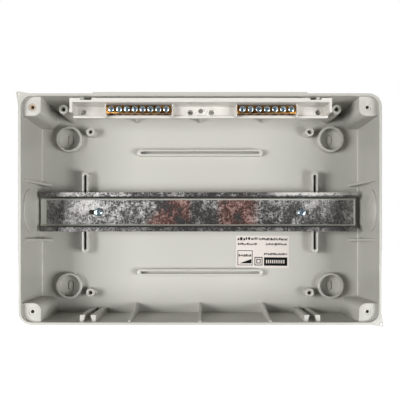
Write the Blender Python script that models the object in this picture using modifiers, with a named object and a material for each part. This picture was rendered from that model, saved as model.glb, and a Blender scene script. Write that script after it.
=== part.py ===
"""Base half of a surface-mount residential load center, with its cover off.

A moulded box holds a 35 mm mounting rail on two screws and, under its top wall, a slide-in holder with
a neutral bar and an earth bar. Metres; X runs to the right, Z up, and -Y out of the wall towards the
person in front. The wall face of the box lies on Y = 0, with the origin at its centre.
"""

import math

import bmesh
import bpy
from mathutils import Matrix, Vector

OBJECT_NAME = "residential_load_center"

# Box
BOX_WIDTH = 0.298
BOX_HEIGHT = 0.190
BOX_DEPTH = 0.0722
WALL = 0.0022
DRAFT = 0.0006  # how far each side wall leans in between the rim and the back
CORNER_RADIUS = 0.011
BACK_EDGE_RADIUS = 0.0032
RIB_WALL = 0.0018
GAP = 0.0003  # left between two pieces that touch
ROUND_END = 0.999  # a round end's bevel as a share of its half width, so that no face is left without area

# Cover posts in the box's corners, measured from the outside of the rim
POST_REACH = 0.0177
POST_BELOW_RIM = 0.0047
POST_CORNER_RADIUS = 0.006
COVER_HOLE_INSET = 0.0106
COVER_HOLE_RADIUS = 0.0015
COVER_HOLE_DEPTH = 0.025
COVER_SINK_RADIUS = 0.0032
COVER_SINK_DEPTH = 0.0008
SCREW_TUBE_WALL = 0.002
SCREW_TUBE_LENGTH = 0.030

# Wall fixing wells and the small bosses on the floor
FIXING_INSET_X = 0.0295
FIXING_INSET_Z = 0.028
WELL_RADIUS = 0.01185
WELL_WALL = 0.002
WELL_HEIGHT = 0.009
KNOCKOUT_WIDTH = 0.005
KNOCKOUT_LENGTH = 0.0095
KNOCKOUT_SKIN = 0.0012  # thickness left to break out
PLATE_BOSS_INSET_X = 0.0495
PLATE_BOSS_INSET_Z = 0.022
BOSS_RADIUS = 0.004
BOSS_HOLE_RADIUS = 0.0016
TALL_BOSS_INSET_X = 0.0322
TALL_BOSS_INSET_Z = 0.0084
TALL_BOSS_HEIGHT = 0.046
TALL_BOSS_HOLE_RADIUS = 0.00175
BOSS_HOLE_DEPTH = 0.010

# Slotted pads on the floor
PAD_WIDTH = 0.006
PAD_SLOT = 0.0024
PAD_SLOT_SKIN = 0.0006  # the slots end this far in front of the floor
RAIL_PAD_INSET = 0.0448
RAIL_PAD_LENGTH = 0.074
FLOOR_PAD_FROM_RAIL = 0.0374
FLOOR_PAD_LENGTH = 0.115
FLOOR_PAD_HEIGHT = 0.006

# Ribs and knock-outs on the walls
GUSSET_INSET = 0.091
GUSSET_REACH = 0.0092
GUSSET_BELOW_RIM = 0.0035
FIN_FROM_CENTRE = 0.025
FIN_REACH = 0.010
FIN_BELOW_RIM = 0.010
GLAND_RADIUS = 0.018
GLAND_STEP_RADIUS = 0.0125
GLAND_PROUD = 0.0016
GLAND_STEP_PROUD = 0.0008
GLAND_BELOW_RIM = 0.024
LUG_SPAN = 0.011
LUG_TIP = 0.003
LUG_REACH_X = 0.0016
LUG_REACH_Z = 0.0014
LUG_THICKNESS = 0.0015
LUG_BELOW_RIM = 0.0006
LUG_HOLE_RADIUS = 0.0009
LIP_INSET = 0.061
LIP_BELOW_RIM = 0.0002
LIP_PROUD = 0.001
LIP_DEPTH = 0.005

# Dovetail channels that take a terminal holder
CHANNEL_INSET = 0.056
CHANNEL_MOUTH = 0.0045
CHANNEL_ROOT = 0.0075
CHANNEL_RIB_FOOT = 0.0028
LOWER_CHANNEL_DEPTH = 0.0052
UPPER_CHANNEL_DEPTH = 0.0032
CHANNEL_BELOW_RIM = 0.0065

# Mounting rail, 35 mm top-hat section
RAIL_WIDTH = 0.035
RAIL_CHANNEL = 0.025
RAIL_HEIGHT = 0.0075
RAIL_SHEET = 0.001
RAIL_BEND_RADIUS = 0.00048
RAIL_END_CLEARANCE = 0.00385
RAIL_SHIFT = -0.00175
RAIL_ABOVE_FLOOR = 0.0125
RAIL_SCREW_INSET = 0.057
RAIL_SLOT_OFFSET = 0.0012  # each slot's centre lies this far outside its screw's place
RAIL_SLOT_LENGTH = 0.0127
RAIL_POST_WALL = 0.0022

# Screws: head and shank radii, head height and shank length
RAIL_SCREW_HEAD = 0.00375
RAIL_SCREW_HEAD_HEIGHT = 0.0024
RAIL_SCREW_SHANK = 0.00195
RAIL_SCREW_LENGTH = 0.011
CLAMP_HEAD = 0.00265
CLAMP_HEAD_HEIGHT = 0.002
CLAMP_SHANK = 0.0017
CLAMP_LENGTH = 0.006
CROWN = 0.62  # flat crown of a pan head, as a share of its radius
SHOULDER = 0.9  # where the crown's curve turns into the side, as a share of the radius
SHOULDER_HEIGHT = 0.72  # shares of the head's height
SIDE_HEIGHT = 0.3
POINT = 0.4  # flat end of the shank, as a share of its radius
POINT_LENGTH = 0.6
RECESS_ARM = 0.62  # cross recess: half its span and its width as shares of the head's radius
RECESS_WIDTH = 0.24
RECESS_DEPTH = 0.55  # share of the head's height

# Terminal holder, placed from the top wall and the rim
HOLDER_INSET = 0.04075
HOLDER_SHIFT = 0.00065
HOLDER_CLEARANCE = 0.0005
HOLDER_BELOW_RIM = 0.004
HOLDER_DEPTH = 0.021
HOLDER_HEIGHT = 0.0135
HOLDER_TOP_WALL = 0.0034
HOLDER_END_WALL = 0.0022
HOLDER_PLATE = 0.0015
HOLDER_LIP = 0.002
HOLDER_LIP_HEIGHT = 0.004  # from the back of the plate to the lip's front edge
HOLDER_END_STEP = 0.0017
HOLDER_BOSS_INSET = 0.008
HOLDER_BOSS_SPACING = 0.009
HOLDER_BOSS_DROP = 0.0084
HOLDER_BOSS_RADIUS = 0.0039
HOLDER_BOSS_HOLE = 0.0024
HOLDER_MIDDLE_BOSS = 0.9  # size of the middle boss, as a share of the others
HOLDER_MIDDLE_RAISE = 0.0013
HOLDER_BOSS_BEHIND = 0.006
HOLDER_NOTCH_WIDTH = 0.0094
HOLDER_NOTCH_DEPTH = 0.0017
HOLDER_NOTCH_FROM_KEY = 0.0019
HOLDER_FRONT_BAND = 0.0021
KEY_CLEARANCE = 0.0003
KEY_LENGTH = 0.013
CLIP_WALL = 0.001

# Terminal bars
BAR_HEIGHT = 0.0064
BAR_DEPTH = 0.0088
BAR_END = 0.0041  # from the last screw's axis to the bar's end
BAR_DROP = 0.0075  # from the holder's top to the bar's axis
BAR_WIRE_RADIUS = 0.0023
BAR_WIRE_DEPTH = 0.0042  # from the bar's front to the wire holes' axis
NEUTRAL_WAYS = 8
NEUTRAL_PITCH = 0.0066
NEUTRAL_FROM_CENTRE = -0.0521
EARTH_WAYS = 7
EARTH_PITCH = 0.00684
EARTH_FROM_CENTRE = 0.0555

# Rating label
LABEL_WIDTH = 0.0491
LABEL_HEIGHT = 0.0295
LABEL_SHEET = 0.0002
LABEL_LIFT = 0.00015
LABEL_X = 0.05775
LABEL_FROM_RAIL = 0.0037
LABEL_TURN = math.radians(0.5)

# Derived places
HALF_WIDTH = BOX_WIDTH / 2
HALF_HEIGHT = BOX_HEIGHT / 2
ROOT = WALL / 2  # how deep a rib or boss is rooted in the wall it grows from
PAST = 0.001  # how far a cutter runs past the face it cuts through
CORE_INSET = max(WALL, BACK_EDGE_RADIUS) + GAP  # keeps a post's core inside the rounded back edge
INSIDE_DEPTH = BOX_DEPTH - WALL
RAIL_PAD_HEIGHT = RAIL_ABOVE_FLOOR - GAP
RAIL_LENGTH = BOX_WIDTH - 2 * (WALL + DRAFT + RAIL_END_CLEARANCE)
RAIL_SCREW_X = HALF_WIDTH - RAIL_SCREW_INSET
SCREW_HOLE = RAIL_SCREW_SHANK + GAP
CHANNEL_X = HALF_WIDTH - CHANNEL_INSET
HOLDER_LENGTH = BOX_WIDTH - 2 * HOLDER_INSET
BAR_HOLE = CLAMP_SHANK + GAP

# An outline drawn in (x, y) extruded along Z, turned so that it runs along another axis
ALONG_Y = Matrix.Rotation(math.radians(90), 4, "X")  # outline (x, y) becomes (X, Z)
ALONG_X = Matrix(((0, 0, 1, 0), (1, 0, 0, 0), (0, 1, 0, 0), (0, 0, 0, 1)))  # becomes (Y, Z)

SIDES = (-1, 1)


def level(height):
    """Y of a point this high above the box's inner floor."""
    return -(WALL + height)


def below_rim(depth):
    """Y of a point this far below the rim."""
    return depth - BOX_DEPTH


def clear_scene():
    for thing in list(bpy.data.objects):
        bpy.data.objects.remove(thing, do_unlink=True)


def new_collection(name, parent):
    made = bpy.data.collections.new(name)
    parent.children.link(made)
    return made


def new_material(name, colour, roughness, metallic=0.0):
    made = bpy.data.materials.new(name)
    made.use_nodes = True
    shader = made.node_tree.nodes["Principled BSDF"]
    shader.inputs["Base Color"].default_value = (*colour, 1.0)
    shader.inputs["Roughness"].default_value = roughness
    shader.inputs["Metallic"].default_value = metallic
    return made


def link_mesh(name, mesh, collection):
    made = bpy.data.objects.new(name, mesh)
    collection.objects.link(made)
    return made


def from_bmesh(name, shape, collection):
    mesh = bpy.data.meshes.new(name)
    bmesh.ops.recalc_face_normals(shape, faces=shape.faces)
    shape.to_mesh(mesh)
    shape.free()
    return link_mesh(name, mesh, collection)


def bevel_edges(shape, chosen, radius, segments):
    bmesh.ops.bevel(
        shape,
        geom=chosen,
        offset=radius,
        offset_type="OFFSET",
        affect="EDGES",
        segments=segments,
        profile=0.5,
        material=-1,
    )


def box(name, low, high, collection, radius=0.0, segments=4):
    """A box from its lowest to its highest corner, with its edges along Y rounded."""
    shape = bmesh.new()
    bmesh.ops.create_cube(shape, size=1.0)
    low, high = Vector(low), Vector(high)
    bmesh.ops.scale(shape, vec=high - low, verts=shape.verts)
    bmesh.ops.translate(shape, vec=(high + low) / 2, verts=shape.verts)
    if radius:
        along_y = [e for e in shape.edges if abs(e.verts[0].co.y - e.verts[1].co.y) > PAST / 2]
        bevel_edges(shape, along_y, radius, segments)
    return from_bmesh(name, shape, collection)


def rod(name, x, z, radius, y_front, y_back, collection, segments=16):
    """A round bar along Y."""
    shape = bmesh.new()
    place = Matrix.Translation((x, (y_front + y_back) / 2, z)) @ ALONG_Y
    bmesh.ops.create_cone(
        shape,
        cap_ends=True,
        segments=segments,
        radius1=radius,
        radius2=radius,
        depth=abs(y_back - y_front),
        matrix=place,
    )
    return from_bmesh(name, shape, collection)


def outline(name, points, thickness, place, collection):
    """A flat outline of the given thickness, made from a filled curve."""
    curve = bpy.data.curves.new(name, "CURVE")
    curve.dimensions = "2D"
    curve.fill_mode = "BOTH"
    curve.extrude = thickness / 2
    spline = curve.splines.new("POLY")
    spline.points.add(len(points) - 1)
    for point, (u, v) in zip(spline.points, points):
        point.co = (u, v, 0.0, 1.0)
    spline.use_cyclic_u = True
    drawn = bpy.data.objects.new(name, curve)
    collection.objects.link(drawn)
    mesh = bpy.data.meshes.new_from_object(drawn.evaluated_get(bpy.context.evaluated_depsgraph_get()))
    bpy.data.objects.remove(drawn, do_unlink=True)
    shape = bmesh.new()
    shape.from_mesh(mesh)
    bpy.data.meshes.remove(mesh)
    bmesh.ops.remove_doubles(shape, verts=shape.verts, dist=1e-6)
    bmesh.ops.transform(shape, matrix=place, verts=shape.verts)
    return from_bmesh(name, shape, collection)


def rounded(points, radius, steps=2):
    """The outline with each of its corners turned into an arc."""
    made = []
    for i, corner in enumerate(points):
        corner = Vector(corner)
        before = (Vector(points[i - 1]) - corner).normalized()
        after = (Vector(points[(i + 1) % len(points)]) - corner).normalized()
        half = before.angle(after) / 2
        centre = corner + (before + after).normalized() * (radius / math.sin(half))
        start = corner + before * (radius / math.tan(half)) - centre
        end = corner + after * (radius / math.tan(half)) - centre
        turn = start.angle_signed(end)
        for step in range(steps + 1):
            made.append(tuple(centre + Matrix.Rotation(-turn * step / steps, 2) @ start))
    return made


def turned(name, profile, steps, collection):
    """A profile of (radius, height) points turned about Z, its heights running downwards."""
    shape = bmesh.new()
    points = [shape.verts.new((radius, 0.0, height)) for radius, height in profile]
    for first, second in zip(points, points[1:]):
        shape.edges.new((first, second))
    mesh = bpy.data.meshes.new(name)
    shape.to_mesh(mesh)
    shape.free()
    made = link_mesh(name, mesh, collection)
    screw = made.modifiers.new("turn", "SCREW")
    screw.steps = steps
    screw.render_steps = steps
    screw.use_merge_vertices = True
    screw.merge_threshold = 0.00001
    return made


def boolean(target, operation, tool=None, tools=None):
    cut = target.modifiers.new(operation.lower(), "BOOLEAN")
    cut.operation = operation
    cut.solver = "EXACT"
    if tools is None:
        cut.object = tool
    else:
        cut.operand_type = "COLLECTION"
        cut.collection = tools
    return cut


def finish(piece, material, angle=30):
    piece.data.materials.clear()
    piece.data.materials.append(material)
    piece.data.shade_smooth()
    piece.data.set_sharp_from_angle(angle=math.radians(angle))


def baked(piece):
    """The piece's mesh with its modifiers applied, for copies to share."""
    mesh = bpy.data.meshes.new_from_object(piece.evaluated_get(bpy.context.evaluated_depsgraph_get()))
    bpy.data.objects.remove(piece, do_unlink=True)
    return mesh


def hide(collection):
    for thing in collection.all_objects:
        thing.hide_render = True
        thing.display_type = "WIRE"


# ---------------------------------------------------------------------------------------------- base


def box_shell(collection):
    """The open box: a drafted block with rounded corners, open at the front and thickened inwards."""
    shape = bmesh.new()
    bmesh.ops.create_cube(shape, size=1.0)
    bmesh.ops.scale(shape, vec=(BOX_WIDTH, BOX_DEPTH, BOX_HEIGHT), verts=shape.verts)
    bmesh.ops.translate(shape, vec=(0, -BOX_DEPTH / 2, 0), verts=shape.verts)
    for corner in shape.verts:
        if corner.co.y > -BOX_DEPTH / 2:
            corner.co.x -= math.copysign(DRAFT, corner.co.x)
            corner.co.z -= math.copysign(DRAFT, corner.co.z)
    along_y = [e for e in shape.edges if abs(e.verts[0].co.y - e.verts[1].co.y) > BOX_DEPTH / 2]
    bevel_edges(shape, along_y, CORNER_RADIUS, 6)
    back = [e for e in shape.edges if min(v.co.y for v in e.verts) > -PAST]
    bevel_edges(shape, back, BACK_EDGE_RADIUS, 3)
    front = [f for f in shape.faces if max(v.co.y for v in f.verts) < PAST - BOX_DEPTH]
    bmesh.ops.delete(shape, geom=front, context="FACES_ONLY")
    base = from_bmesh("enclosure_base", shape, collection)
    wall = base.modifiers.new("wall", "SOLIDIFY")
    wall.thickness = WALL
    wall.offset = -1.0
    wall.use_even_offset = True
    return base


def corner_post(side_x, side_z, added, cut):
    """A hollow post, cored from behind, that takes one of the cover's four screws."""
    outer_x, outer_z = HALF_WIDTH - ROOT - DRAFT / 2, HALF_HEIGHT - ROOT - DRAFT / 2
    face = below_rim(POST_BELOW_RIM)
    centre_x, centre_z = HALF_WIDTH - CORNER_RADIUS, HALF_HEIGHT - CORNER_RADIUS

    def quadrant(name, inner_x, inner_z, far_x, far_z, inner_radius, y_front, y_back, collection):
        points = [
            (far_x, inner_z),
            *arc(centre_x, centre_z, far_x - centre_x, 0, 90, 5),
            (inner_x, far_z),
            *arc(inner_x + inner_radius, inner_z + inner_radius, inner_radius, 180, 270, 4),
        ]
        mirrored = [(side_x * u, side_z * v) for u, v in points]
        place = Matrix.Translation((0, (y_front + y_back) / 2, 0)) @ ALONG_Y
        return outline(name, mirrored, y_back - y_front, place, collection)

    inner_x, inner_z = HALF_WIDTH - POST_REACH, HALF_HEIGHT - POST_REACH
    quadrant("post", inner_x, inner_z, outer_x, outer_z, POST_CORNER_RADIUS, face, level(-GAP), added)
    core = quadrant(
        "post_core",
        inner_x + WALL,
        inner_z + WALL,
        HALF_WIDTH - DRAFT - CORE_INSET,
        HALF_HEIGHT - DRAFT - CORE_INSET,
        POST_CORNER_RADIUS - WALL,
        face + WALL,
        PAST,
        cut,
    )
    x, z = side_x * (HALF_WIDTH - COVER_HOLE_INSET), side_z * (HALF_HEIGHT - COVER_HOLE_INSET)
    tube = rod("screw_tube", x, z, COVER_HOLE_RADIUS + SCREW_TUBE_WALL, face, face + SCREW_TUBE_LENGTH, TOOLS)
    boolean(core, "DIFFERENCE", tool=tube)
    rod("cover_hole", x, z, COVER_HOLE_RADIUS, face - PAST, face + COVER_HOLE_DEPTH, cut, 12)
    rod("cover_sink", x, z, COVER_SINK_RADIUS, face - PAST, face + COVER_SINK_DEPTH, cut)


def arc(centre_u, centre_v, radius, start, end, steps):
    """Points along an arc, its angles in degrees."""
    angles = [math.radians(start + (end - start) * i / steps) for i in range(steps + 1)]
    return [(centre_u + radius * math.cos(a), centre_v + radius * math.sin(a)) for a in angles]


def boss(name, x, z, radius, hole_radius, height, added, cut):
    """A round boss on the floor with a blind pilot hole."""
    rod(name, x, z, radius, level(height), level(-ROOT), added)
    rod(name + "_hole", x, z, hole_radius, level(height) - PAST, level(height - BOSS_HOLE_DEPTH), cut, 10)


def floor_features(added, cut):
    for side_x in SIDES:
        for side_z in SIDES:
            x, z = side_x * (HALF_WIDTH - FIXING_INSET_X), side_z * (HALF_HEIGHT - FIXING_INSET_Z)
            rod("well", x, z, WELL_RADIUS, level(WELL_HEIGHT), level(-ROOT), added, 24)
            rod("well_bore", x, z, WELL_RADIUS - WELL_WALL, level(WELL_HEIGHT) - PAST, level(0), cut, 24)
            box(
                "knockout",
                (x - KNOCKOUT_WIDTH / 2, level(PAST), z - KNOCKOUT_LENGTH / 2),
                (x + KNOCKOUT_WIDTH / 2, -KNOCKOUT_SKIN, z + KNOCKOUT_LENGTH / 2),
                cut,
                KNOCKOUT_WIDTH / 2 * ROUND_END,
            )
            x, z = side_x * (HALF_WIDTH - PLATE_BOSS_INSET_X), side_z * (HALF_HEIGHT - PLATE_BOSS_INSET_Z)
            boss("plate_boss", x, z, BOSS_RADIUS, BOSS_HOLE_RADIUS, RAIL_PAD_HEIGHT, added, cut)
        x, z = side_x * (HALF_WIDTH - TALL_BOSS_INSET_X), HALF_HEIGHT - TALL_BOSS_INSET_Z
        boss("tall_boss", x, z, BOSS_RADIUS, TALL_BOSS_HOLE_RADIUS, TALL_BOSS_HEIGHT, added, cut)
        x = side_x * (HALF_WIDTH - RAIL_PAD_INSET)
        slotted_pad(x, 0, 0, RAIL_PAD_LENGTH, RAIL_PAD_HEIGHT, added, cut)
        z = side_x * (RAIL_WIDTH / 2 + FLOOR_PAD_FROM_RAIL)
        slotted_pad(0, z, FLOOR_PAD_LENGTH, 0, FLOOR_PAD_HEIGHT, added, cut)
        post_radius = SCREW_HOLE + RAIL_POST_WALL
        x = side_x * RAIL_SCREW_X
        rod("rail_post", x, 0, post_radius, level(RAIL_PAD_HEIGHT), level(-ROOT), added)
        rod("rail_post_hole", x, 0, SCREW_HOLE, level(RAIL_PAD_HEIGHT) - PAST, level(0), cut, 12)


def slotted_pad(x, z, length_x, length_z, height, added, cut):
    """A long pad with round ends and a slot along its middle."""

    def bar(name, width, y_front, y_back, shorter, collection):
        half_x = max(length_x / 2 - shorter, width / 2)
        half_z = max(length_z / 2 - shorter, width / 2)
        low, high = (x - half_x, y_front, z - half_z), (x + half_x, y_back, z + half_z)
        box(name, low, high, collection, width / 2 * ROUND_END, 5)

    bar("pad", PAD_WIDTH, level(height), level(-ROOT), 0, added)
    bar("pad_slot", PAD_SLOT, level(height) - PAST, level(PAD_SLOT_SKIN), PAD_WIDTH / 2, cut)


def triangular_rib(name, wall_at, outwards, reach, top_height, foot_height, place, added):
    """A rib between a wall and the floor, drawn from the wall (u) and the floor (v = Y)."""
    tip = reach * (1 - foot_height / top_height)
    points = [
        (level(-ROOT), wall_at + outwards * ROOT),
        (level(-ROOT), wall_at - outwards * reach),
        (level(0), wall_at - outwards * reach),
        (level(foot_height), wall_at - outwards * tip),
        (level(foot_height), wall_at + outwards * ROOT),
    ]
    return outline(name, points, RIB_WALL, place, added)


def wall_ribs(added):
    inner_z = HALF_HEIGHT - WALL - DRAFT
    slope_top = INSIDE_DEPTH - GUSSET_BELOW_RIM
    under_holder = INSIDE_DEPTH - HOLDER_BELOW_RIM - HOLDER_DEPTH - GAP
    for x in (GUSSET_INSET - HALF_WIDTH, 0.0, HALF_WIDTH - GUSSET_INSET):
        place = Matrix.Translation((x, 0, 0)) @ ALONG_X
        triangular_rib("gusset", -inner_z, -1, GUSSET_REACH, slope_top, slope_top - PAST, place, added)
        triangular_rib("upper_gusset", inner_z, 1, GUSSET_REACH, slope_top, under_holder, place, added)
    inner_x = HALF_WIDTH - WALL - DRAFT
    fin_top = INSIDE_DEPTH - FIN_BELOW_RIM
    turn = Matrix(((0, 1, 0, 0), (1, 0, 0, 0), (0, 0, -1, 0), (0, 0, 0, 1)))  # outline becomes (Y, X)
    for side_x in SIDES:
        for side_z in SIDES:
            place = Matrix.Translation((0, 0, side_z * FIN_FROM_CENTRE)) @ turn
            triangular_rib("fin", side_x * inner_x, side_x, FIN_REACH, fin_top, fin_top - PAST, place, added)


def channel_rib(wall_z, outwards, depth, x, side, growth=0.0):
    """Outline in (X, Z) of one of the two ribs of a dovetail channel, made bigger by growth all round."""
    mouth, root = CHANNEL_MOUTH / 2 - growth, CHANNEL_ROOT / 2 - growth
    far = CHANNEL_ROOT / 2 + CHANNEL_RIB_FOOT + growth
    tip = wall_z - outwards * (depth + growth)
    base = wall_z + outwards * ROOT
    return [
        (x + side * root, base),
        (x + side * far, base),
        (x + side * far, tip),
        (x + side * mouth, tip),
        (x + side * root, wall_z),
    ]


def channel_ribs(added):
    front, back = below_rim(CHANNEL_BELOW_RIM), level(-GAP)
    place = Matrix.Translation((0, (front + back) / 2, 0)) @ ALONG_Y
    for outwards, depth in ((1, UPPER_CHANNEL_DEPTH), (-1, LOWER_CHANNEL_DEPTH)):
        wall_z = outwards * (HALF_HEIGHT - WALL - DRAFT / 2)
        for side_x in SIDES:
            for side in SIDES:
                points = channel_rib(wall_z, outwards, depth, side_x * CHANNEL_X, side)
                outline("channel_rib", points, back - front, place, added)


def wall_features(added, cut):
    for side_x in SIDES:
        for radius, proud in ((GLAND_RADIUS, GLAND_PROUD), (GLAND_STEP_RADIUS, GLAND_STEP_PROUD)):
            shape = bmesh.new()
            inner_x = HALF_WIDTH - WALL - DRAFT * GLAND_BELOW_RIM / BOX_DEPTH
            bottom = inner_x - GLAND_PROUD
            out_x = inner_x + ROOT
            place = Matrix.Translation((side_x * (bottom + out_x) / 2, below_rim(GLAND_BELOW_RIM), 0))
            depth = out_x - bottom
            target = added
            if radius == GLAND_STEP_RADIUS:
                depth = 2 * proud
                place = Matrix.Translation((side_x * bottom, below_rim(GLAND_BELOW_RIM), 0))
                target = cut
            bmesh.ops.create_cone(
                shape,
                cap_ends=True,
                segments=24,
                radius1=radius,
                radius2=radius,
                depth=depth,
                matrix=place @ Matrix.Rotation(math.radians(90), 4, "Y"),
            )
            from_bmesh("gland_pad", shape, target)
    for side in SIDES:  # sealing lugs on two opposite corners
        centre_u, centre_v = HALF_WIDTH - CORNER_RADIUS, HALF_HEIGHT - CORNER_RADIUS
        far_u, far_v = HALF_WIDTH + LUG_REACH_X, HALF_HEIGHT + LUG_REACH_Z
        points = [
            (HALF_WIDTH, far_v - LUG_SPAN),
            (far_u, far_v - LUG_TIP),
            (far_u, far_v),
            (far_u - LUG_TIP, far_v),
            (far_u - LUG_SPAN, HALF_HEIGHT),
            *arc(centre_u, centre_v, CORNER_RADIUS - ROOT, 90, 0, 5),
        ]
        mirrored = [(side * u, -side * v) for u, v in points]
        place = Matrix.Translation((0, below_rim(LUG_BELOW_RIM + LUG_THICKNESS / 2), 0)) @ ALONG_Y
        outline("sealing_lug", mirrored, LUG_THICKNESS, place, added)
        inset = LUG_HOLE_RADIUS * 2
        x, z = side * (far_u - inset), -side * (far_v - inset)
        rod("lug_hole", x, z, LUG_HOLE_RADIUS, below_rim(-PAST), below_rim(3 * LUG_THICKNESS), cut, 8)
    lip_x = HALF_WIDTH - LIP_INSET
    box(
        "cover_lip",
        (-lip_x, below_rim(LIP_BELOW_RIM), HALF_HEIGHT - ROOT),
        (lip_x, below_rim(LIP_DEPTH), HALF_HEIGHT + LIP_PROUD),
        added,
    )


def enclosure_base(parts, material):
    added = new_collection("base_additions", TOOLS)
    cut = new_collection("base_cutters", TOOLS)
    base = box_shell(parts)
    for side_x in SIDES:
        for side_z in SIDES:
            corner_post(side_x, side_z, added, cut)
    floor_features(added, cut)
    wall_ribs(added)
    channel_ribs(added)
    wall_features(added, cut)
    boolean(base, "UNION", tools=added)
    boolean(base, "DIFFERENCE", tools=cut)
    finish(base, material)
    return base


# ---------------------------------------------------------------------------------------------- rail


def din_rail(parts, material):
    """The rail: a top-hat section run along X, with a slot at each screw; its origin is on its centre line."""
    half, channel, sheet = RAIL_WIDTH / 2, RAIL_CHANNEL / 2, RAIL_SHEET
    front, web = -RAIL_HEIGHT, 0.0
    section = [
        (front, -half),
        (front, -channel),
        (web - sheet, -channel),
        (web - sheet, channel),
        (front, channel),
        (front, half),
        (front + sheet, half),
        (front + sheet, channel + sheet),
        (web, channel + sheet),
        (web, -channel - sheet),
        (front + sheet, -channel - sheet),
        (front + sheet, -half),
    ]
    rail = outline("din_rail", rounded(section, RAIL_BEND_RADIUS), RAIL_LENGTH, ALONG_X, parts)
    rail.location = (RAIL_SHIFT, level(RAIL_ABOVE_FLOOR), 0)
    cut = new_collection("rail_cutters", TOOLS)
    for side in SIDES:
        x = side * (RAIL_SCREW_X + RAIL_SLOT_OFFSET) + RAIL_SHIFT
        y = level(RAIL_ABOVE_FLOOR)
        box(
            "rail_slot",
            (x - RAIL_SLOT_LENGTH / 2, y - RAIL_SHEET - PAST, -SCREW_HOLE),
            (x + RAIL_SLOT_LENGTH / 2, y + PAST, SCREW_HOLE),
            cut,
            SCREW_HOLE * ROUND_END,
        )
    boolean(rail, "DIFFERENCE", tools=cut)
    finish(rail, material)
    return rail


def pan_screw_mesh(name, head, head_height, shank, length, steps):
    """A pan-head screw with a cross recess, its head's underside at the origin and its head towards +Z."""
    profile = [
        (0.0, head_height),
        (head * CROWN, head_height),
        (head * SHOULDER, head_height * SHOULDER_HEIGHT),
        (head, head_height * SIDE_HEIGHT),
        (head, 0.0),
        (shank, 0.0),
        (shank, -length + shank * POINT_LENGTH),
        (shank * POINT, -length),
        (0.0, -length),
    ]
    screw = turned(name, profile, steps, TOOLS)
    arm, width, depth = head * RECESS_ARM, head * RECESS_WIDTH, head_height * RECESS_DEPTH
    cross = new_collection(name + "_recess", TOOLS)
    for half_x, half_y in ((arm, width / 2), (width / 2, arm)):
        low, high = (-half_x, -half_y, head_height - depth), (half_x, half_y, head_height + PAST)
        box(name + "_arm", low, high, cross)
    boolean(screw, "DIFFERENCE", tools=cross)
    return baked(screw)


def place_screw(name, mesh, x, y, z, material, parts, parent=None):
    """A screw with its head's underside at this place and its head towards the front."""
    made = link_mesh(name, mesh, parts)
    made.matrix_world = Matrix.Translation((x, y, z)) @ ALONG_Y
    finish(made, material)
    attach(made, parent)
    return made


def attach(child, parent):
    """Parents the child and keeps it where it is."""
    if parent is not None:
        bpy.context.view_layer.update()
        child.parent = parent
        child.matrix_parent_inverse = parent.matrix_world.inverted()


def rail_screws(parts, material):
    mesh = pan_screw_mesh(
        "rail_screw", RAIL_SCREW_HEAD, RAIL_SCREW_HEAD_HEIGHT, RAIL_SCREW_SHANK, RAIL_SCREW_LENGTH, 16
    )
    seat = level(RAIL_ABOVE_FLOOR + RAIL_SHEET + GAP)
    for name, side in (("rail_screw_left", -1), ("rail_screw_right", 1)):
        place_screw(name, mesh, side * RAIL_SCREW_X, seat, 0, material, parts)


# -------------------------------------------------------------------------------- holder and its bars


def holder_top():
    """Z of the holder's top face."""
    return HALF_HEIGHT - WALL - DRAFT / 2 - HOLDER_CLEARANCE


def bar_length(ways, pitch):
    return (ways - 1) * pitch + 2 * BAR_END


def bars():
    """Name, number of ways, pitch and centre X of each terminal bar."""
    return (
        ("neutral", NEUTRAL_WAYS, NEUTRAL_PITCH, HOLDER_SHIFT + NEUTRAL_FROM_CENTRE),
        ("earth", EARTH_WAYS, EARTH_PITCH, HOLDER_SHIFT + EARTH_FROM_CENTRE),
    )


def plate_front():
    return below_rim(HOLDER_BELOW_RIM + HOLDER_DEPTH - HOLDER_PLATE)


def bar_front():
    return plate_front() - GAP - BAR_DEPTH


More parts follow.
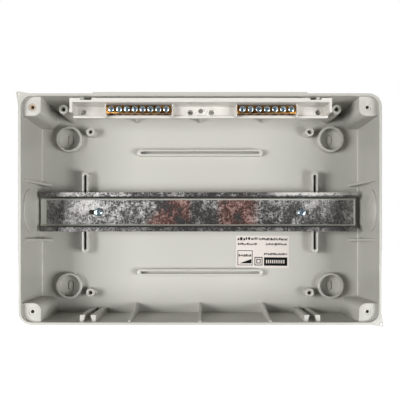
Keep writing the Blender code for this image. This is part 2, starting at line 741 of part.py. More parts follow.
def terminal_holder(parts, material):
    """A trough under the box's top wall, open to the front, whose keys slide in the upper channels."""
    added = new_collection("holder_additions", TOOLS)
    cut = new_collection("holder_cutters", TOOLS)
    top = holder_top()
    bottom = top - HOLDER_HEIGHT
    front, back = below_rim(HOLDER_BELOW_RIM), below_rim(HOLDER_BELOW_RIM + HOLDER_DEPTH)
    left, right = HOLDER_SHIFT - HOLDER_LENGTH / 2, HOLDER_SHIFT + HOLDER_LENGTH / 2
    under_top = top - HOLDER_TOP_WALL
    lip_front = back - HOLDER_LIP_HEIGHT
    step = bottom + HOLDER_END_STEP

    holder = box("terminal_holder", (left, front, under_top), (right, back, top), parts)
    box("plate", (left, plate_front(), bottom), (right, back, top - PAST), added)
    box("lip", (left, lip_front, bottom), (right, back, bottom + HOLDER_LIP), added)
    end_points = [
        (back, bottom),
        (lip_front, bottom),
        (lip_front, step),
        (front, step),
        (front, top),
        (back, top),
    ]
    for side, x in ((1, left), (-1, right)):
        place = Matrix.Translation((x + side * HOLDER_END_WALL / 2, 0, 0)) @ ALONG_X
        outline("end_wall", end_points, HOLDER_END_WALL, place, added)

    boss_z = top - HOLDER_BOSS_DROP
    end_boss = HOLDER_LENGTH / 2 - HOLDER_BOSS_INSET
    for from_centre in (-end_boss, -HOLDER_BOSS_SPACING, 0.0, HOLDER_BOSS_SPACING, end_boss):
        x = HOLDER_SHIFT + from_centre
        share, z = (HOLDER_MIDDLE_BOSS, boss_z + HOLDER_MIDDLE_RAISE) if from_centre == 0.0 else (1.0, boss_z)
        rod("boss", x, z, HOLDER_BOSS_RADIUS * share, lip_front, back + HOLDER_BOSS_BEHIND, added)
        rod("hole", x, z, HOLDER_BOSS_HOLE * share, lip_front - PAST, back + 2 * HOLDER_BOSS_BEHIND, cut, 16)

    for _, ways, pitch, x in bars():
        for side in SIDES:
            near = x + side * (bar_length(ways, pitch) / 2 + GAP)
            low, high = sorted((near, near + side * CLIP_WALL))
            box("clip", (low, bar_front() + PAST, bottom), (high, back, top - PAST), added)

    wall_z = HALF_HEIGHT - WALL - DRAFT / 2
    slot_front = front + HOLDER_FRONT_BAND
    place = Matrix.Translation((0, (slot_front + back + PAST) / 2, 0)) @ ALONG_Y
    for side_x in SIDES:
        for side in SIDES:
            points = channel_rib(wall_z, 1, UPPER_CHANNEL_DEPTH, side_x * CHANNEL_X, side, KEY_CLEARANCE)
            outline("rib_slot", points, back + PAST - slot_front, place, cut)
        key_half = CHANNEL_ROOT / 2 + PAST / 2
        box(
            "key_end",
            (side_x * CHANNEL_X - key_half, slot_front, top - UPPER_CHANNEL_DEPTH),
            (side_x * CHANNEL_X + key_half, back - KEY_LENGTH, top + PAST),
            cut,
        )
        notch_x = side_x * (CHANNEL_X + HOLDER_NOTCH_FROM_KEY) + HOLDER_SHIFT
        box(
            "notch",
            (notch_x - HOLDER_NOTCH_WIDTH / 2, front - PAST, top - HOLDER_NOTCH_DEPTH),
            (notch_x + HOLDER_NOTCH_WIDTH / 2, slot_front + PAST, top + PAST),
            cut,
        )
    boolean(holder, "UNION", tools=added)
    boolean(holder, "DIFFERENCE", tools=cut)
    finish(holder, material)
    return holder


def terminal_bars(parts, holder, brass, zinc):
    z = holder_top() - BAR_DROP
    front = bar_front()
    clamp = pan_screw_mesh("clamp_screw", CLAMP_HEAD, CLAMP_HEAD_HEIGHT, CLAMP_SHANK, CLAMP_LENGTH, 10)
    for name, ways, pitch, x in bars():
        half = bar_length(ways, pitch) / 2
        low = (x - half, front, z - BAR_HEIGHT / 2)
        high = (x + half, front + BAR_DEPTH, z + BAR_HEIGHT / 2)
        bar = box(name + "_bar", low, high, parts)
        cut = new_collection(name + "_bar_cutters", TOOLS)
        for way in range(ways):
            hole_x = x + (way - (ways - 1) / 2) * pitch
            rod("screw_hole", hole_x, z, BAR_HOLE, front - PAST, front + CLAMP_LENGTH + PAST, cut, 10)
            wire = bmesh.new()
            bmesh.ops.create_cone(
                wire,
                cap_ends=True,
                segments=10,
                radius1=BAR_WIRE_RADIUS,
                radius2=BAR_WIRE_RADIUS,
                depth=BAR_HEIGHT + 2 * PAST,
                matrix=Matrix.Translation((hole_x, front + BAR_WIRE_DEPTH, z)),
            )
            from_bmesh("wire_hole", wire, cut)
            place_screw(f"{name}_screw_{way + 1}", clamp, hole_x, front - GAP, z, zinc, parts, holder)
        boolean(bar, "DIFFERENCE", tools=cut)
        finish(bar, brass)
        attach(bar, holder)


def rating_label(parts, material):
    """A paper label on the box's floor, a little askew."""
    shape = bmesh.new()
    bmesh.ops.create_cube(shape, size=1.0)
    bmesh.ops.scale(shape, vec=(LABEL_WIDTH, LABEL_SHEET, LABEL_HEIGHT), verts=shape.verts)
    label = from_bmesh("rating_label", shape, parts)
    z = -(RAIL_WIDTH / 2 + LABEL_FROM_RAIL + LABEL_HEIGHT / 2)
    label.location = (LABEL_X, level(LABEL_LIFT + LABEL_SHEET / 2), z)
    label.rotation_euler.y = LABEL_TURN
    finish(label, material)


clear_scene()
PARTS = new_collection(OBJECT_NAME, bpy.context.scene.collection)
TOOLS = new_collection("cutters", bpy.context.scene.collection)

BOX_PLASTIC = new_material("box_plastic", (0.60, 0.60, 0.56), 0.5)
HOLDER_PLASTIC = new_material("holder_plastic", (0.72, 0.69, 0.64), 0.45)
GALVANISED = new_material("galvanised_steel", (0.55, 0.56, 0.57), 0.35, 1.0)
ZINC = new_material("zinc_plated_steel", (0.62, 0.66, 0.70), 0.25, 1.0)
BRASS = new_material("brass", (0.80, 0.58, 0.28), 0.25, 1.0)
PAPER = new_material("paper", (0.86, 0.83, 0.78), 0.7)

enclosure_base(PARTS, BOX_PLASTIC)
din_rail(PARTS, GALVANISED)
rail_screws(PARTS, ZINC)
terminal_bars(PARTS, terminal_holder(PARTS, HOLDER_PLASTIC), BRASS, ZINC)
rating_label(PARTS, PAPER)
hide(TOOLS)
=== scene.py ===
import math
import random

import bmesh
import bpy
from mathutils import Matrix, Vector


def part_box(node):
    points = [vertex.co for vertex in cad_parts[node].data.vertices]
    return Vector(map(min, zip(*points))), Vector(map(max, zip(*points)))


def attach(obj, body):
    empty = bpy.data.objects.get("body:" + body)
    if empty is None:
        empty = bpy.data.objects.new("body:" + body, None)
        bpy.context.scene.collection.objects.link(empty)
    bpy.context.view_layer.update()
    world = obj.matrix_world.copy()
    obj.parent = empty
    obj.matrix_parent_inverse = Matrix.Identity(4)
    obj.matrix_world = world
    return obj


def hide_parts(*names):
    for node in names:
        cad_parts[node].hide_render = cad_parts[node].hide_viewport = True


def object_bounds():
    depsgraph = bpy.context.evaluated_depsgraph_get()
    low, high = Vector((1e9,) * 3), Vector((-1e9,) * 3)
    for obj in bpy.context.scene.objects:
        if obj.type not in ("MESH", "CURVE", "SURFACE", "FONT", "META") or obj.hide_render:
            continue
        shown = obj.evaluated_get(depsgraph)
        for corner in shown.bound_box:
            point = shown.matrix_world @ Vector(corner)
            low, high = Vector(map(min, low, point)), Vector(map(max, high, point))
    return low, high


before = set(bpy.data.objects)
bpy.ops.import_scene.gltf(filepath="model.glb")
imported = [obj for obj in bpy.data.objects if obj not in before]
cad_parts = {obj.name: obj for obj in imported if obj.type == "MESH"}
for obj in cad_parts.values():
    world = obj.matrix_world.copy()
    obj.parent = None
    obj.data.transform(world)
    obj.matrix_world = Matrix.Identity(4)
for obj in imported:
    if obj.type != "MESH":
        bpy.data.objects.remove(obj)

cad_low, cad_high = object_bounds()

# The studio: the box stands on a plain white floor, seen straight from the front. A softbox on each side
# lights its inside, and three behind it light its back. The floor is only seen, so it lights nothing.
MM = 0.001  # sizes below are in millimetres, and a finished mesh is brought to metres
scene = bpy.context.scene
scene.view_settings.view_transform = "Standard"
scene.view_settings.look = "None"

lens = bpy.data.cameras.new("camera")
lens.lens, lens.sensor_width, lens.shift_y = 58.2, 36.0, 0.1025
camera = bpy.data.objects.new("camera", lens)
camera_from_rim, camera_height = 0.529, -0.02605  # metres
camera.location = (0.0, cad_low.y - camera_from_rim, camera_height)
camera.rotation_euler = (math.radians(90), 0.0, 0.0)
scene.collection.objects.link(camera)
scene.camera = camera


def softbox(name, place, width, height, watts, aim=(0.0, -0.03, 0.0)):
    """A rectangular soft light that points at the box."""
    light = bpy.data.lights.new(name, "AREA")
    light.shape, light.size, light.size_y, light.energy = "RECTANGLE", width, height, watts
    lamp = bpy.data.objects.new(name, light)
    lamp.location = place
    lamp.rotation_euler = (Vector(aim) - Vector(place)).to_track_quat("-Z", "Y").to_euler()
    scene.collection.objects.link(lamp)


# Each softbox: its place in metres, its width and height in metres, and its watts.
softbox("left_softbox", (-0.62, -0.72, -0.03), 0.44, 0.34, 8.1)
softbox("right_softbox", (0.64, -0.72, -0.19), 0.52, 0.34, 8.0)
softbox("back_left_softbox", (-0.8, 0.9, 0.5), 0.6, 0.6, 7.0)
softbox("back_right_softbox", (0.9, 0.8, 0.2), 0.6, 0.6, 5.0)
softbox("back_top_softbox", (0.1, 0.35, 1.1), 0.7, 0.5, 6.0)


def add(tree, kind, inputs=None, stops=None, **settings):
    """Adds a node, sets it up, and links or fills its inputs."""
    node = tree.nodes.new(kind)
    for name, value in settings.items():
        setattr(node, name, value)
    for name, value in (inputs or {}).items():
        if isinstance(value, bpy.types.NodeSocket):
            tree.links.new(value, node.inputs[name])
        else:
            node.inputs[name].default_value = value
    for i, (position, colour) in enumerate(stops or ()):
        ramp = node.color_ramp.elements
        stop = ramp[i] if i < 2 else ramp.new(position)
        stop.position, stop.color = position, colour
    return node


def linear(hex_colour):
    """An sRGB hex colour as linear red, green, blue and alpha."""
    shares = [int(hex_colour[i : i + 2], 16) / 255 for i in (1, 3, 5)]
    return (*(s / 12.92 if s <= 0.04045 else ((s + 0.055) / 1.055) ** 2.4 for s in shares), 1.0)


world = bpy.data.worlds.new("white_room")
world.use_nodes = True
scene.world = world
room = world.node_tree
room.nodes.clear()
path = add(room, "ShaderNodeLightPath")
shadow_light, mirrored_light, seen_light = 0.03, 0.12, 1.0
mirrored_room = add(room, "ShaderNodeMapRange", {
    "Value": path.outputs["Is Glossy Ray"], "To Min": shadow_light, "To Max": mirrored_light,
})
fill = add(room, "ShaderNodeMapRange", {
    "Value": path.outputs["Is Camera Ray"], "To Min": mirrored_room.outputs["Result"], "To Max": seen_light,
})
air = add(room, "ShaderNodeBackground", {"Color": (1, 1, 1, 1), "Strength": fill.outputs["Result"]})
add(room, "ShaderNodeOutputWorld", {"Surface": air.outputs["Background"]})

paper_floor = bpy.data.materials.new("white_studio_floor")
paper_floor.use_nodes = True
shader = paper_floor.node_tree.nodes["Principled BSDF"]
shader.inputs["Base Color"].default_value = (0.9, 0.9, 0.9, 1)
shader.inputs["Emission Color"].default_value = (1, 1, 1, 1)
shader.inputs["Emission Strength"].default_value = 1.2
sweep, floor_half, floor_gap = bmesh.new(), 4.0, 0.0005
bmesh.ops.create_grid(sweep, size=floor_half, matrix=Matrix.Translation((0, 0, cad_low.z - floor_gap)))
floor_mesh = bpy.data.meshes.new("floor")
sweep.to_mesh(floor_mesh)
floor = bpy.data.objects.new("floor", floor_mesh)
floor_mesh.materials.append(paper_floor)
floor.visible_diffuse = floor.visible_glossy = floor.visible_transmission = floor.visible_shadow = False
scene.collection.objects.link(floor)

# The box: one injection moulding in light warm grey plastic, open at the front, with 2.2 mm drafted walls.
# Its corner posts, wells, bosses, slotted pads, gussets, fins and channel ribs are all part of the moulding.
box_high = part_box("enclosure_base")[1] / MM
lug_out_x, lug_out_z = 1.6, 1.4
half_w, half_h, rim = box_high.x - lug_out_x, box_high.z - lug_out_z, -72.2
wall, draft, corner_radius, back_radius = 2.2, 0.6, 11.0, 3.2
floor_face = -wall
root = 1.1  # how deep a rib or boss is rooted in the wall it grows from


def block(low, high):
    """A block between two opposite corners."""
    shape = bmesh.new()
    bmesh.ops.create_cube(shape, size=1.0)
    bmesh.ops.scale(shape, vec=[h - l for l, h in zip(low, high)], verts=shape.verts)
    bmesh.ops.translate(shape, vec=[(l + h) / 2 for l, h in zip(low, high)], verts=shape.verts)
    return shape


def edges(shape, axis=None, near=0.7, **at):
    """The edges along an axis, or those whose ends both lie at the places given for x, y or z."""
    found = []
    for edge in shape.edges:
        flange_highlight = edge.verts[1].co - edge.verts[0].co
        if axis is not None and abs(flange_highlight["xyz".index(axis)]) < 0.99 * flange_highlight.length:
            continue
        if all(abs(v.co["xyz".index(a)] - p) < near for a, p in at.items() for v in edge.verts):
            found.append(edge)
    return found


def soften(shape, chosen, width, segments=2):
    """Rounds the chosen edges."""
    bmesh.ops.bevel(
        shape, geom=chosen, offset=width, affect="EDGES", segments=segments, profile=0.5, material=-1,
        clamp_overlap=True,
    )
    return shape


def facing(shape, front):
    """The edges of a shape's front face, which lies at this Y."""
    return [e for e in shape.edges if all(v.co.y < front + 0.01 for v in e.verts)]


def peg(x, z, radius, front, back, edge=0.0, segments=40, tip=None):
    """A round peg along Y; its front edge is rounded, and tip is the radius there if it tapers."""
    shape = bmesh.new()
    place = Matrix.Translation((x, (front + back) / 2, z)) @ Matrix.Rotation(math.radians(90), 4, "X")
    bmesh.ops.create_cone(
        shape, cap_ends=True, segments=segments, radius1=radius, radius2=tip or radius,
        depth=back - front, matrix=place,
    )
    if edge:
        soften(shape, facing(shape, front), edge, 3)
    return shape


def pulled_out(shape, step):
    """Extrudes all the faces of a flat shape by a step, and points every face outwards."""
    made = bmesh.ops.extrude_face_region(shape, geom=shape.faces[:])["geom"]
    bmesh.ops.translate(shape, vec=step, verts=[v for v in made if isinstance(v, bmesh.types.BMVert)])
    bmesh.ops.recalc_face_normals(shape, faces=shape.faces)
    return shape


def slab(points, axis, low, high):
    """A flat outline in the plane across an axis, pulled out between two places on that axis."""
    shape, at = bmesh.new(), "xyz".index(axis)
    shape.faces.new([shape.verts.new((*point[:at], low, *point[at:])) for point in points])
    return pulled_out(shape, Vector([high - low if a == axis else 0.0 for a in "xyz"]))


def loose(shape, name="tool"):
    """An object for a shape, still in millimetres."""
    bmesh.ops.triangulate(shape, faces=shape.faces)
    mesh = bpy.data.meshes.new(name)
    shape.to_mesh(mesh)
    shape.free()
    made = bpy.data.objects.new(name, mesh)
    scene.collection.objects.link(made)
    return made


def regained(piece):
    """The mesh of a loose object as a shape again; the object goes."""
    shape = bmesh.new()
    shape.from_mesh(piece.data)
    bpy.data.objects.remove(piece)
    return shape


def worked(piece, operation, shapes):
    """Joins shapes to a piece (UNION) or cuts them out of it (DIFFERENCE)."""
    group = bpy.data.collections.new("tools")
    scene.collection.children.link(group)
    tools = [loose(s) for s in shapes]
    for tool in tools:
        group.objects.link(tool)
    change = piece.modifiers.new(operation, "BOOLEAN")
    change.operation, change.operand_type, change.collection = operation, "COLLECTION", group
    change.solver = "EXACT"
    mesh = bpy.data.meshes.new_from_object(piece.evaluated_get(bpy.context.evaluated_depsgraph_get()))
    piece.modifiers.clear()
    piece.data = mesh
    for tool in tools:
        bpy.data.objects.remove(tool)
    bpy.data.collections.remove(group)
    return piece


def shaded(mesh, level=0.01, wide=2.0e-4, sharp_from=40):
    """Shades a mesh smooth, but keeps each wide plane (square metres) flat, so its shading is even."""
    shape = bmesh.new()
    shape.from_mesh(mesh)
    left = set(shape.faces)
    while left:
        seed = left.pop()
        plane, reached = [seed], [seed]
        while reached:
            for edge in reached.pop().edges:
                for face in edge.link_faces:
                    if face in left and (face.normal - seed.normal).length < level:
                        left.discard(face)
                        plane.append(face)
                        reached.append(face)
        flat = sum(face.calc_area() for face in plane) > wide
        for face in plane:
            face.smooth = not flat
    shape.to_mesh(mesh)
    shape.free()
    mesh.set_sharp_from_angle(angle=math.radians(sharp_from))


def finished(piece, material, body, slot, *nodes):
    """Brings a piece to metres, shades it, gives it its material and body, hides its nodes; slot is not used.
    """
    piece.data.transform(Matrix.Scale(MM, 4))
    piece.data.materials.clear()
    piece.data.materials.append(material)
    shaded(piece.data)
    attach(piece, body)
    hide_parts(*nodes)


def mirrored(shape, side_x, side_z):
    """The shape moved to another corner of the box by mirroring."""
    bmesh.ops.scale(shape, vec=(side_x, 1, side_z), verts=shape.verts)
    if side_x * side_z < 0:
        bmesh.ops.reverse_faces(shape, faces=shape.faces)
    return shape


def drafted(low, high, lean, radius, back_edge, segments):
    """A block with rounded corners that narrows towards the back, and a rounded edge there."""
    shape = block(low, high)
    for corner in shape.verts:
        if corner.co.y > (low[1] + high[1]) / 2:
            corner.co.x -= math.copysign(lean, corner.co.x)
            corner.co.z -= math.copysign(lean, corner.co.z)
    soften(shape, edges(shape, "y"), radius, segments)
    soften(shape, [e for e in shape.edges if all(v.co.y > high[1] - 0.01 for v in e.verts)], back_edge, 5)
    return shape


enclosure = loose(drafted(
    (-half_w, rim, -half_h), (half_w, 0, half_h), draft, corner_radius, back_radius, 12,
))
enclosure.name = enclosure.data.name = "enclosure"

lip_x, lip_deep, lip_proud = 88.0, 5.0, 1.0
lug_span, lug_tip, lug_front, lug_back = 11.0, 3.0, -71.6, -70.1
outside = [block((-lip_x, rim + 0.2, half_h - root), (lip_x, rim + lip_deep, half_h + lip_proud))]
soften(outside[0], edges(outside[0], "x", z=half_h + lip_proud), 0.3)
for side in (-1, 1):
    far_x, far_z = half_w + lug_out_x, half_h + lug_out_z
    lug = slab(
        [(far_x - lug_span, far_z - lug_span), (half_w, far_z - lug_span), (far_x, far_z - lug_tip),
         (far_x, far_z), (far_x - lug_tip, far_z), (far_x - lug_span, half_h)],
        "y", lug_front, lug_back,
    )
    soften(lug, edges(lug, "y", x=far_x, z=far_z), 0.6)
    outside.append(mirrored(lug, side, -side))
worked(enclosure, "UNION", outside)

past = 1.0  # how far a cutter runs past the face it cuts through
inside = drafted(
    (wall - half_w, rim - past, wall - half_h), (half_w - wall, floor_face, half_h - wall),
    draft, corner_radius - wall, 0.9, 10,
)
tongue_wall, tongue_high = 1.0, 0.5
around = loose(block((-half_w - 9, rim - past, -half_h - 9), (half_w + 9, rim + tongue_high, half_h + 9)))
keep = drafted(
    (tongue_wall - half_w, rim - 2 * past, tongue_wall - half_h),
    (half_w - tongue_wall, rim + past, half_h - tongue_wall),
    0.0, corner_radius - tongue_wall, 0.01, 10,
)
worked(around, "DIFFERENCE", [keep])
worked(enclosure, "DIFFERENCE", [inside, regained(around)])

grown, bored = [], []
post_reach, post_face, post_radius = 17.7, rim + 4.7, 6.0
core_gap = back_radius + 0.3
hole_x, hole_z, hole_radius, hole_deep, hole_wall = half_w - 10.6, half_h - 10.6, 1.5, 25, 3.5
dish_radius, dish_deep, dish_out = 5.2, 0.25, 0.7
well_x, well_z, well_front = half_w - 29.5, half_h - 28.0, floor_face - 9.0
well_radius, well_bore = 11.85, 9.85
knock_half_x, knock_half_z, knock_groove, knock_back = 2.6, 4.85, 0.85, -0.8
boss_radius, boss_bore, boss_sink = 4.0, 1.6, 0.6
floor_boss_x, floor_boss_z, floor_boss_front = half_w - 49.5, half_h - 22.0, floor_face - 12.2
tall_boss_x, tall_boss_z, tall_boss_front = half_w - 32.2, half_h - 8.4, floor_face - 46.0
tall_boss_bore = 1.75
rail_post_x, rail_post_radius, rail_post_bore = half_w - 57.0, 4.45, 2.25
for side_x in (-1, 1):
    for side_z in (-1, 1):
        inner_x, inner_z = half_w - post_reach, half_h - post_reach
        outer_x, outer_z = half_w - root - draft / 2, half_h - root - draft / 2
        post = block((inner_x, post_face, inner_z), (outer_x, floor_face + 0.3, outer_z))
        soften(post, edges(post, "y", x=inner_x, z=inner_z), post_radius, 10)
        soften(post, edges(post, "y", x=outer_x, z=outer_z), corner_radius - root, 10)
        soften(post, facing(post, post_face), 0.45, 3)
        grown.append(mirrored(post, side_x, side_z))

        core = block(
            (inner_x + wall, post_face + wall, inner_z + wall),
            (half_w - draft - core_gap, past, half_h - draft - core_gap),
        )
        soften(core, edges(core, "y", x=inner_x + wall, z=inner_z + wall), post_radius - wall, 8)
        pillar = peg(hole_x, hole_z, hole_wall, post_face, post_face + hole_deep + 5)
        hollow = worked(loose(core), "DIFFERENCE", [pillar])
        bored.append(mirrored(regained(hollow), side_x, side_z))
        x, z = side_x * hole_x, side_z * hole_z
        bored.append(peg(x, z, hole_radius, post_face - past, post_face + hole_deep))
        bored.append(peg(x, z, 2.7, post_face - past, post_face + 0.8, tip=4.0))
        if (side_x, side_z) != (-1, 1):
            dish_x = side_x * (hole_x + dish_out)
            bored.append(peg(dish_x, z, dish_radius, post_face - past, post_face + dish_deep, segments=48))

        x, z = side_x * well_x, side_z * well_z
        grown.append(peg(x, z, well_radius, well_front, -root, 0.7, 64))
        bored.append(peg(x, z, well_bore, well_front - past, floor_face, segments=64))
        knock = block(
            (x - knock_half_x, floor_face - past, z - knock_half_z),
            (x + knock_half_x, knock_back, z + knock_half_z),
        )
        island = block(
            (x - knock_half_x + knock_groove, floor_face + 0.1, z - knock_half_z + knock_groove),
            (x + knock_half_x - knock_groove, 0.0, z + knock_half_z - knock_groove),
        )
        soften(knock, edges(knock, "y"), knock_half_x - 0.01, 8)
        soften(island, edges(island, "y"), knock_half_x - knock_groove - 0.01, 8)
        bored.append(regained(worked(loose(knock), "DIFFERENCE", [island])))

        x, z = side_x * floor_boss_x, side_z * floor_boss_z
        grown.append(peg(x, z, boss_radius, floor_boss_front, -root, 0.5))
        bored.append(peg(x, z, boss_bore, floor_boss_front - past, -1.0, segments=24))
        bored.append(peg(
            x, z, boss_bore, floor_boss_front - boss_sink, floor_boss_front + boss_sink, segments=24, tip=2.8,
        ))
    x, z = side_x * tall_boss_x, tall_boss_z
    grown.append(peg(x, z, boss_radius, tall_boss_front, -root, 0.5))
    bored.append(peg(x, z, tall_boss_bore, tall_boss_front - past, floor_face - 30.0, segments=24))
    bored.append(peg(
        x, z, tall_boss_bore, tall_boss_front - boss_sink, tall_boss_front + boss_sink, segments=24, tip=2.95,
    ))
    x = side_x * rail_post_x
    grown.append(peg(x, 0, rail_post_radius, floor_boss_front, -root, 0.3))
    bored.append(peg(x, 0, rail_post_bore, floor_boss_front - past, floor_face, segments=24))

# Four long pads on the floor, two upright and two level, each with a slot down its middle.
pad_half, slot_half, slot_back = 3.0, 1.2, -0.9
upright_x, upright_long, upright_high = half_w - 44.8, 37.0, 12.2
level_z, level_long, level_high = 54.9, 57.5, 6.0
for x, z, half_x, half_z, high in (
    (upright_x, 0, pad_half, upright_long, upright_high),
    (-upright_x, 0, pad_half, upright_long, upright_high),
    (0, level_z, level_long, pad_half, level_high),
    (0, -level_z, level_long, pad_half, level_high),
):
    pad = block((x - half_x, floor_face - high, z - half_z), (x + half_x, -root, z + half_z))
    soften(pad, edges(pad, "y"), pad_half - 0.01, 8)
    grown.append(soften(pad, facing(pad, floor_face - high), 0.5))
    slot_x, slot_z = (slot_half, half_z - pad_half) if half_x < half_z else (half_x - pad_half, slot_half)
    slot = block((x - slot_x, floor_face - high - past, z - slot_z), (x + slot_x, slot_back, z + slot_z))
    bored.append(soften(slot, edges(slot, "y"), slot_half - 0.01, 6))

# Gussets between the floor and the long walls, and fins on the short walls: thin ribs that stiffen the box.
rib_half, gusset_reach, rib_edge = 1.05, 9.2, 0.25
slope_top = rim + 3.5
for x in (-58.0, 0.0, 58.0):
    wall_z = half_h - wall - draft
    lower = slab(
        [(-root, -wall_z - root), (-root, gusset_reach - wall_z), (floor_face, gusset_reach - wall_z),
         (slope_top, 0.5 - wall_z), (slope_top, -wall_z - root)],
        "x", x - rib_half, x + rib_half,
    )
    under = floor_face - 44.7
    risen = (under - floor_face) / (slope_top - floor_face)
    upper = slab(
        [(-root, wall_z + root), (-root, wall_z - gusset_reach), (floor_face, wall_z - gusset_reach),
         (under, wall_z - gusset_reach * (1 - risen)), (under, wall_z + root)],
        "x", x - rib_half, x + rib_half,
    )
    for gusset in (lower, upper):
        free = [e for e in gusset.edges if abs(e.verts[0].co.x - e.verts[1].co.x) < 0.1]
        grown.append(soften(gusset, free, rib_edge))
fin_top, fin_reach = rim + 10.0, 10.0
for side_x in (-1, 1):
    wall_x = half_w - wall - draft
    for z in (-25.0, 25.0):
        fin = slab(
            [(wall_x + root, -root), (wall_x - fin_reach, -root), (wall_x - fin_reach, floor_face),
             (wall_x - 0.5, fin_top), (wall_x + root, fin_top)],
            "z", z - rib_half, z + rib_half,
        )
        free = [e for e in fin.edges if abs(e.verts[0].co.z - e.verts[1].co.z) < 0.1]
        grown.append(mirrored(soften(fin, free, rib_edge), side_x, 1))

# Pairs of dovetail ribs on the long walls. The terminal holder slides in the channels of the upper pairs.
channel_x, mouth, throat, outer = 93.0, 2.25, 3.75, 6.55
upper_proud, lower_proud = 3.2, 5.2
for up, proud in ((1, upper_proud), (-1, lower_proud)):
    wall_z = half_h - wall - draft / 2
    for side_x in (-1, 1):
        for side in (-1, 1):
            points = [
                (throat, wall_z + root), (outer, wall_z + root), (outer, wall_z - proud),
                (mouth, wall_z - proud), (throat, wall_z),
            ]
            rib = slab([(channel_x + side * u, v) for u, v in points], "y", rim + 6.5, floor_face + 0.3)
            soften(rib, edges(rib, "y", z=wall_z - proud), rib_edge)
            grown.append(mirrored(rib, side_x, up))

# A round pad for a cable gland on each short wall, and the sealing holes through the two lugs.
gland_down, gland_proud, gland_radius, gland_thick = 24.0, 1.6, 18.0, 2.7
gland_y, gland_x = rim + gland_down, half_w - wall - draft * gland_down / -rim - gland_proud
seal_in, seal_radius = 1.8, 0.9
for side in (-1, 1):
    disc = bmesh.new()
    place = Matrix.Translation((side * (gland_x + gland_thick / 2), gland_y, 0))
    bmesh.ops.create_cone(
        disc, cap_ends=True, segments=72, radius1=gland_radius, radius2=gland_radius, depth=gland_thick,
        matrix=place @ Matrix.Rotation(math.radians(90), 4, "Y"),
    )
    inner_edge = [e for e in disc.edges if all(abs(v.co.x) < gland_x + 0.01 for v in e.verts)]
    grown.append(soften(disc, inner_edge, 1.3, 4))
    seal_x, seal_z = side * (half_w + lug_out_x - seal_in), -side * (half_h + lug_out_z - seal_in)
    bored.append(peg(seal_x, seal_z, seal_radius, lug_front - past, lug_back + past, segments=20))
worked(enclosure, "UNION", grown)
worked(enclosure, "DIFFERENCE", bored)


# Moulded ABS, light warm grey. A fine spark-eroded mould texture gives it a satin sheen that breaks up
# highlights; handling has polished it here and there, and the colour is nearly even. The real texture is a
# tenth of a millimetre wide, so its grain is drawn coarser, wide enough to show.
relief_depth = 0.1 * MM


def surface(name):
    """A new material, with its node tree, its shader and the place on the object that its patterns read."""
    material = bpy.data.materials.new(name)
    material.use_nodes = True
    tree = material.node_tree
    return material, tree, tree.nodes["Principled BSDF"], add(tree, "ShaderNodeTexCoord").outputs["Object"]


def moulded(name, pale, dark, roughness, grain, relief=0.12):
    """A moulded plastic: two near colours in soft clouds, a satin grain (mm) and uneven gloss."""
    material, tree, shader, place = surface(name)
    clouds = add(tree, "ShaderNodeTexNoise", {"Vector": place, "Scale": 1 / (45.0 * MM), "Detail": 0.0})
    mix = add(tree, "ShaderNodeMix", {
        "Factor": clouds.outputs["Fac"], "A": linear(pale), "B": linear(dark),
    }, data_type="RGBA")
    gloss = add(tree, "ShaderNodeMapRange", {
        "Value": clouds.outputs["Fac"], "To Min": roughness - 0.02, "To Max": roughness + 0.04,
    })
    fine = add(tree, "ShaderNodeTexNoise", {"Vector": place, "Scale": 1 / (grain * MM), "Detail": 2.0})
    bump = add(tree, "ShaderNodeBump", {
        "Height": fine.outputs["Fac"], "Strength": relief, "Distance": relief_depth,
    })
    tree.links.new(mix.outputs["Result"], shader.inputs["Base Color"])
    tree.links.new(gloss.outputs["Result"], shader.inputs["Roughness"])
    tree.links.new(bump.outputs["Normal"], shader.inputs["Normal"])
    shader.inputs["IOR"].default_value = 1.53
    return material


box_plastic = moulded("moulded_abs_light_grey", "#bebdb6", "#bab9b2", 0.3, 1.4)
# A brown ring round the upper left post's hole, where a screw has rusted.
tree = box_plastic.node_tree
shader = tree.nodes["Principled BSDF"]
place = add(tree, "ShaderNodeTexCoord").outputs["Object"]
rusted = (-hole_x * MM, post_face * MM, hole_z * MM)
reach = add(tree, "ShaderNodeVectorMath", {0: place, 1: rusted}, operation="DISTANCE").outputs["Value"]
halo = add(tree, "ShaderNodeMapRange", {
    "Value": reach, "From Min": 3.6 * MM, "From Max": 2.0 * MM, "To Max": 0.6,
}, interpolation_type="SMOOTHSTEP")
plain = shader.inputs["Base Color"].links[0].from_socket
rust = add(tree, "ShaderNodeMix", {
    "Factor": halo.outputs["Result"], "A": plain, "B": linear("#9a6a35"),
}, data_type="RGBA")
tree.links.new(rust.outputs["Result"], shader.inputs["Base Color"])
finished(enclosure, box_plastic, "base", "box_plastic", "enclosure_base")

# The rail: galvanised steel strip, cold rolled into the standard 35 by 7.5 mm top-hat section and cropped to
# length. Two slots near its ends let it slide sideways before its screws are tightened.
rail_low, rail_high = (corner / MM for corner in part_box("din_rail"))
flange, web, sheet, half_channel, half_rail = rail_low.y, rail_high.y, 1.0, 12.5, 17.5
section = [
    (flange, -half_rail), (flange, -half_channel), (web - sheet, -half_channel), (web - sheet, half_channel),
    (flange, half_channel), (flange, half_rail), (flange + sheet, half_rail),
    (flange + sheet, half_channel + sheet), (web, half_channel + sheet), (web, -half_channel - sheet),
    (flange + sheet, -half_channel - sheet), (flange + sheet, -half_rail),
]
strip = slab(section, "x", rail_low.x, rail_high.x)
bends = [(flange, half_channel), (web, half_channel + sheet)]
hollows = [(web - sheet, half_channel), (flange + sheet, half_channel + sheet)]
for turned, radius in ((bends, 1.45), (hollows[1:], 0.47), (hollows[:1], 1.9)):
    for y, z in turned:
        for side in (-1, 1):
            soften(strip, edges(strip, "x", y=y, z=side * z), radius, 5)
rail = loose(strip, "mounting_rail")
rail_shift, slot_out, slot_half_x, slot_half_z = -1.75, 1.2, 6.35, 2.25
slots = []
